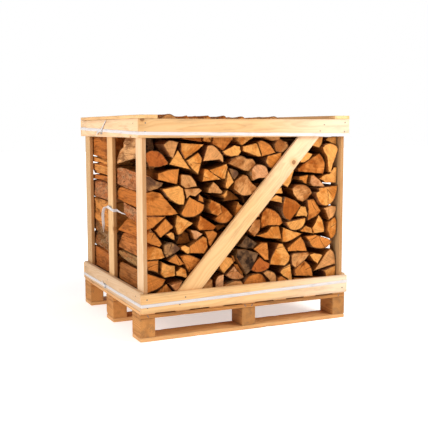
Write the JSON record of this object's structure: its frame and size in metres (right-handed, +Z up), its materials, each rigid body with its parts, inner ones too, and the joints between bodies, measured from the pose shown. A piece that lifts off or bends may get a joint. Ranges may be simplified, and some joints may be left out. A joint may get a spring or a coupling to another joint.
{
  "type": "crate of firewood on a pallet",
  "caption": "Slatted softwood crate of split firewood on a four-way pallet, with stacked logs in two rows, diagonal braces and woven straps with wire buckles.",
  "frame": {"origin": "on the floor under the middle of the pallet", "axes": "+X along the long side, -Y towards the front with the sawn log ends and the brace, +Z up"},
  "size_m": [1.2088, 1.0426, 1.115],
  "materials": {
    "pallet_board": "rough sawn pine, orange with age and handling",
    "pallet_block": "rough sawn end grain and side grain blocks",
    "crate_board": "fresh sawn pale pine, planed faces, rough edges",
    "firewood": "sawn ends, torn split faces and bark",
    "strap_tape": "white woven polyester cord strap",
    "buckle_wire": "galvanised bent wire"
  },
  "bodies": {
    "root": {"bottom_board_front": "pallet_board", "block_front_left": "pallet_block", "block_front_centre": "pallet_block", "block_front_right": "pallet_block", "stringer_front": "pallet_board", "bottom_board_middle": "pallet_board", "block_middle_left": "pallet_block", "block_middle_centre": "pallet_block", "block_middle_right": "pallet_block", "stringer_middle": "pallet_board", "bottom_board_back": "pallet_board", "block_back_left": "pallet_block", "block_back_centre": "pallet_block", "block_back_right": "pallet_block", "stringer_back": "pallet_board", "deck_board_1": "pallet_board", "deck_board_2": "pallet_board", "deck_board_3": "pallet_board", "deck_board_4": "pallet_board", "deck_board_5": "pallet_board", "deck_board_6": "pallet_board", "deck_board_7": "pallet_board", "rail_bottom_front": "crate_board", "rail_top_front": "crate_board", "rail_bottom_back": "crate_board", "rail_top_back": "crate_board", "rail_bottom_left": "crate_board", "rail_top_left": "crate_board", "rail_bottom_right": "crate_board", "rail_top_right": "crate_board", "cap_left": "crate_board", "post_left_front": "crate_board", "post_left_middle": "crate_board", "post_left_back": "crate_board", "cap_right": "crate_board", "post_right_front": "crate_board", "post_right_middle": "crate_board", "post_right_back": "crate_board", "brace_front": "crate_board", "brace_back": "crate_board", "log_stack_front": "firewood", "log_stack_back": "firewood", "top_log_front_1": "firewood", "top_log_front_2": "firewood", "top_log_front_3": "firewood", "top_log_front_4": "firewood", "top_log_front_5": "firewood", "top_log_front_6": "firewood", "top_log_back_1": "firewood", "top_log_back_2": "firewood", "top_log_back_3": "firewood", "top_log_back_4": "firewood", "top_log_back_5": "firewood", "strap_top": "strap_tape", "buckle_top": "buckle_wire", "strap_bottom": "strap_tape", "buckle_bottom": "buckle_wire", "strap_middle": "strap_tape", "buckle_middle": "buckle_wire", "strap_tail": "strap_tape"}
  },
  "joints": []
}
